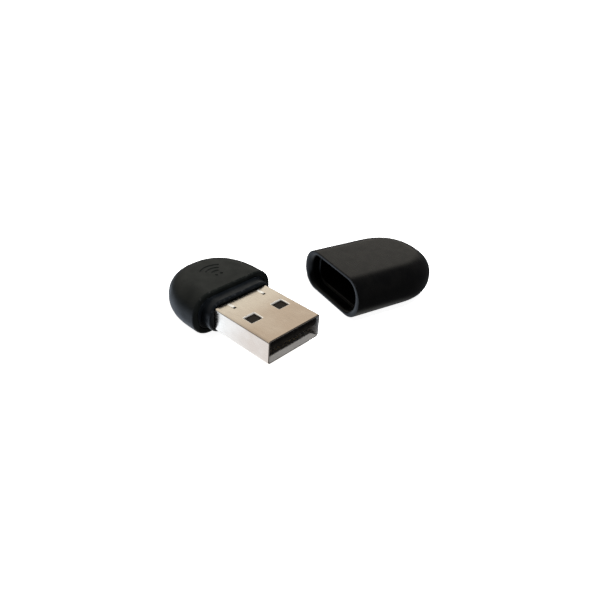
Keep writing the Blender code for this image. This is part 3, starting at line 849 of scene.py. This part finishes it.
def plug_face_material(face):
    """0 outside, 1 inside, 2 where a lance or a window's pressed rim gets the near-white metal:
    rubbing there, with a painted highlight on top.
    """
    place = face.center
    from_axis = abs(place.z - AXIS_HEIGHT)
    if place.z > PLUG_HIGH.z + PROUD_OF_SHEET:
        return 2
    along = abs(place.x - WINDOW_X) < WINDOW_LENGTH / 2 + WINDOW_EDGE
    aside = abs(abs(place.y) - WINDOW_OFFSET) < WINDOW_WIDTH / 2 + WINDOW_EDGE
    sloping = abs(face.normal.z) < RIM_SLOPE
    if along and aside and sloping and from_axis > PLUG_HEIGHT / 2 - WINDOW_EDGE:
        return 2
    inner = PLUG_WALL - SHEET_EDGE
    return int(abs(place.y) < PLUG_WIDTH / 2 - inner and from_axis < PLUG_HEIGHT / 2 - inner)


def make_plug_shell():
    outer = (PLUG_WIDTH, PLUG_HEIGHT, PLUG_RADIUS)
    hollow_width, hollow_height = PLUG_WIDTH - 2 * PLUG_WALL, PLUG_HEIGHT - 2 * PLUG_WALL
    hollow = (hollow_width, hollow_height, PLUG_RADIUS - PLUG_WALL)
    rings = corner(outer, PLUG_REAR, SHEET_EDGE, 1, -1)[::-1]
    rings += corner(outer, PLUG_TIP, SHEET_EDGE, -1, -1)
    rings += corner(hollow, PLUG_TIP, SHEET_EDGE, -1, 1)[::-1]
    rings += corner(hollow, PLUG_REAR, SHEET_EDGE, 1, 1)
    shell = loft("pressed_plug_shell", rings, looped=True)
    lift(shell)
    tabs = []
    for side, label in SIDES:
        tabs.append(block(
            "plug_tab_" + label, (PLUG_LOW.x, PLUG_REAR + OVERRUN),
            on_side(side, PLUG_WIDTH / 2 - PLUG_WALL, PLUG_WIDTH / 2),
            span(AXIS_HEIGHT, TAB_HEIGHT), bevel=SHEET_EDGE,
        ))
        tabs.append(lance("plug_lance_" + label, side))
    combine(shell, tabs, "UNION")
    cutters = [block(
        "plug_seam", (PLUG_REAR - OVERRUN, PLUG_TIP + OVERRUN), span(0.0, SEAM_WIDTH),
        (PLUG_LOW.z - OVERRUN, PLUG_LOW.z + SEAM_DEPTH),
    )]
    for side, label in SIDES:
        place = Vector((WINDOW_X, side * WINDOW_OFFSET, AXIS_HEIGHT))
        cutters.append(window_cutter("plug_window_" + label, place))
        cutters.append(lance_gap("plug_lance_gap_" + label, side))
    combine(shell, cutters, "DIFFERENCE")
    finish_shape(shell)
    # The third material is near-white metal, a painted highlight on the lances and window rims.
    for material in (plug_nickel(), plug_inside(), plug_painted_highlight()):
        shell.data.materials.append(material)
    for face in shell.data.polygons:
        face.material_index = plug_face_material(face)
    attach(shell, ADAPTER)
    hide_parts("plug_shell")


# ---------------------------------------------------------------- the cap

def cap_matrix():
    """The cap's own frame: its mouth at X = 0, turned and placed from the joint that swings it."""
    joint = frame["joints"][0]
    yaw = math.radians(-joint["range_deg"][0])
    pivot = Vector(joint["pos_m"])
    inline = Vector((PLUG_TIP + CAP_INLINE_GAP, 0.0, pivot.z))
    turn = Matrix.Rotation(yaw, 4, "Z")
    mouth = pivot + turn @ (inline - pivot)
    return Matrix.Translation(mouth) @ turn


def is_cap_inside(face):
    """Whether a face of the cap, in its own frame, belongs to the recess or the bore."""
    outwards = Vector((0.0, face.center.y, face.center.z))
    return face.center.x < CAP_BORE_DEPTH + FIT and face.normal.dot(outwards) <= 0.0


def make_cap():
    outer = body_section(BODY_WIDTH, BODY_HEIGHT)
    room = 2 * CAP_RECESS_ROOM
    recess = body_section(COLLAR_WIDTH + room, COLLAR_HEIGHT + room)
    bore = (CAP_BORE_WIDTH, CAP_BORE_HEIGHT, CAP_BORE_RADIUS)
    rings = list(reversed(rounded_end(outer, CAP_LENGTH - CAP_END_DEPTH, CAP_LENGTH)))
    rings += corner(outer, 0.0, CAP_RIM, 1, -1)
    rings += corner(recess, 0.0, CAP_LEAD_SIDE, 1, 1, CAP_LEAD_DEPTH, CAP_LEAD_TOP)[::-1]
    rings += corner(recess, CAP_RECESS_DEPTH, CAP_INNER_EDGE / 2, -1, -1)
    rings += corner(bore, CAP_RECESS_DEPTH, CAP_INNER_EDGE, 1, 1)[::-1]
    rings += corner(bore, CAP_BORE_DEPTH, CAP_RIM, -1, -1)
    rings.append(line_ring(CAP_BORE_DEPTH, bore))
    cap = loft("moulded_cap", rings)
    inside = [is_cap_inside(face) for face in cap.data.polygons]
    transform(cap, cap_matrix())
    finish_shape(cap)
    for material in (cap_plastic(), cap_inside()):
        cap.data.materials.append(material)
    cap.data.polygons.foreach_set("material_index", inside)
    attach(cap, CAP)
    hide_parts("cap_shell")


# ---------------------------------------------------------------- carried-over CAD pieces

def numbered(name, count):
    return tuple("%s_%d" % (name, number) for number in range(1, count + 1))


def dress_cad_nodes():
    looks = (
        (insulator_plastic, ("plug_insulator",)),
        (
            contact_gold,
            ("contact_vbus", "contact_data_minus", "contact_data_plus", "contact_ground"),
        ),
        (board_laminate, ("circuit_board",)),
        (tinplate, ("shield_frame", "shield_cover")),
        (crystal_lid, ("crystal_can",)),
        (chip_epoxy, ("radio_chip", "voltage_regulator", "memory_chip", "surge_protector")),
        (antenna_ceramic, ("chip_antenna",)),
        (ferrite, ("power_inductor",)),
        (capacitor_ceramic, numbered("capacitor", 5)),
        (resistor_film, numbered("resistor", 4)),
    )
    for make_material, names in looks:
        material = make_material()
        for name in names:
            node = frame["nodes"][name]
            node.data.materials.clear()
            node.data.materials.append(material)


# ---------------------------------------------------------------- studio

def make_camera():
    data = bpy.data.cameras.new("camera")
    data.lens = CAMERA_LENS
    data.sensor_width = SENSOR_WIDTH
    data.clip_start = MM
    data.clip_end = CLIP_END
    camera = bpy.data.objects.new("camera", data)
    bpy.context.scene.collection.objects.link(camera)
    turn = (
        Matrix.Rotation(-CAMERA_AZIMUTH, 4, "Z")
        @ Matrix.Rotation(math.pi / 2 - CAMERA_ELEVATION, 4, "X")
        @ Matrix.Rotation(CAMERA_ROLL, 4, "Z")
    )
    back = turn @ Vector((0.0, 0.0, CAMERA_DISTANCE))
    camera.matrix_world = Matrix.Translation(CAMERA_AIM + back) @ turn
    bpy.context.scene.camera = camera


def make_floor():
    """A pale floor that glows, so that it stays near white, and that can't be seen from below."""
    shape = bmesh.new()
    bmesh.ops.create_circle(shape, cap_ends=True, segments=FLOOR_SEGMENTS, radius=FLOOR_RADIUS)
    floor = to_object("floor", shape)
    material = bpy.data.materials.new("floor_white")
    material.use_nodes = True
    tree = material.node_tree
    surface = tree.nodes["Principled BSDF"]
    surface.inputs["Base Color"].default_value = (0.9, 0.9, 0.9, 1.0)
    surface.inputs["Roughness"].default_value = 0.9
    surface.inputs["Specular IOR Level"].default_value = 0.0
    surface.inputs["Emission Color"].default_value = (1.0, 1.0, 1.0, 1.0)
    surface.inputs["Emission Strength"].default_value = FLOOR_GLOW
    see_through = tree.nodes.new("ShaderNodeBsdfTransparent")
    side = tree.nodes.new("ShaderNodeNewGeometry")
    chosen = tree.nodes.new("ShaderNodeMixShader")
    tree.links.new(side.outputs["Backfacing"], chosen.inputs["Fac"])
    tree.links.new(surface.outputs["BSDF"], chosen.inputs[1])
    tree.links.new(see_through.outputs["BSDF"], chosen.inputs[2])
    tree.links.new(chosen.outputs["Shader"], tree.nodes["Material Output"].inputs["Surface"])
    floor.data.materials.append(material)
    floor.visible_diffuse = False
    floor.visible_glossy = False


def make_backdrop():
    """A white dome that only the camera sees, for views that look past the floor."""
    shape = bmesh.new()
    around, along = BACKDROP_SEGMENTS
    bmesh.ops.create_uvsphere(shape, u_segments=around, v_segments=along, radius=FLOOR_RADIUS)
    dome = to_object("backdrop", shape)
    material = bpy.data.materials.new("backdrop_white")
    material.use_nodes = True
    surface = material.node_tree.nodes["Principled BSDF"]
    surface.inputs["Base Color"].default_value = (0.0, 0.0, 0.0, 1.0)
    surface.inputs["Emission Color"].default_value = (1.0, 1.0, 1.0, 1.0)
    surface.inputs["Emission Strength"].default_value = BACKDROP_GLOW
    dome.data.materials.append(material)
    for ray in ("visible_diffuse", "visible_glossy", "visible_transmission", "visible_shadow"):
        setattr(dome, ray, False)


class World:
    """The world's nodes, which read only the direction that light comes from."""

    def __init__(self):
        self.world = bpy.data.worlds.new("studio")
        bpy.context.scene.world = self.world
        self.world.use_nodes = True
        self.tree = self.world.node_tree
        self.direction = self.tree.nodes.new("ShaderNodeTexCoord").outputs["Generated"]

    def towards(self, vector):
        node = self.tree.nodes.new("ShaderNodeVectorMath")
        node.operation = "DOT_PRODUCT"
        node.inputs[1].default_value = vector
        self.tree.links.new(self.direction, node.inputs[0])
        return node.outputs["Value"]

    def rise(self, value, none_at, full_at):
        """A share that grows from 0 to 1 as value goes from none_at to full_at."""
        node = self.tree.nodes.new("ShaderNodeMapRange")
        node.interpolation_type = "SMOOTHSTEP"
        node.inputs["From Min"].default_value = none_at
        node.inputs["From Max"].default_value = full_at
        self.tree.links.new(value, node.inputs["Value"])
        return node.outputs["Result"]

    def glow(self, one, two, colour):
        """Light of a colour where both shares are high."""
        share = self.tree.nodes.new("ShaderNodeMath")
        share.operation = "MULTIPLY"
        self.tree.links.new(one, share.inputs[0])
        self.tree.links.new(two, share.inputs[1])
        light = self.tree.nodes.new("ShaderNodeBackground")
        light.inputs["Color"].default_value = (*colour, 1.0)
        self.tree.links.new(share.outputs["Value"], light.inputs["Strength"])
        return light.outputs["Background"]

    def add(self, one, two):
        node = self.tree.nodes.new("ShaderNodeAddShader")
        self.tree.links.new(one, node.inputs[0])
        self.tree.links.new(two, node.inputs[1])
        return node.outputs["Shader"]


def make_light():
    """A dim surround with a warm sky on the left and a cool table in front on the left.

    Pale light from straight below keeps the undersides from going black, and one small lamp
    overhead gives the faint shadow on the floor.
    """
    studio = World()
    height = studio.towards(UP)
    sky_aside = studio.rise(studio.towards(SKY_FROM), *SKY_ASIDE)
    sky = studio.glow(sky_aside, studio.rise(height, *SKY_HEIGHT), SKY)
    table_aside = studio.rise(studio.towards(TABLE_FROM), *TABLE_ASIDE)
    table = studio.glow(table_aside, studio.rise(height, *TABLE_HEIGHT), TABLE)
    below = studio.rise(height, *UNDERSIDE_HEIGHT)
    under = studio.glow(below, below, UNDERSIDE)
    dim = studio.tree.nodes["Background"]
    dim.inputs["Color"].default_value = (*DARK_SIDE, 1.0)
    everything = studio.add(dim.outputs["Background"], studio.add(under, studio.add(sky, table)))
    output = studio.tree.nodes["World Output"]
    studio.tree.links.new(everything, output.inputs["Surface"])
    make_overhead_lamp()
    bpy.context.scene.view_settings.view_transform = "Standard"


def make_overhead_lamp():
    """A small disk that no surface mirrors, aimed where the camera looks."""
    data = bpy.data.lights.new("overhead", "AREA")
    data.shape = "DISK"
    data.size = OVERHEAD_SIZE
    data.energy = OVERHEAD_WATTS
    lamp = bpy.data.objects.new("overhead", data)
    lamp.location = OVERHEAD_PLACE
    lamp.visible_glossy = False
    aim = CAMERA_AIM - OVERHEAD_PLACE
    lamp.rotation_euler = aim.to_track_quat("-Z", "Y").to_euler()
    bpy.context.scene.collection.objects.link(lamp)


make_camera()
make_floor()
make_backdrop()
make_light()
make_housing()
make_collar()
make_plug_shell()
make_cap()
dress_cad_nodes()
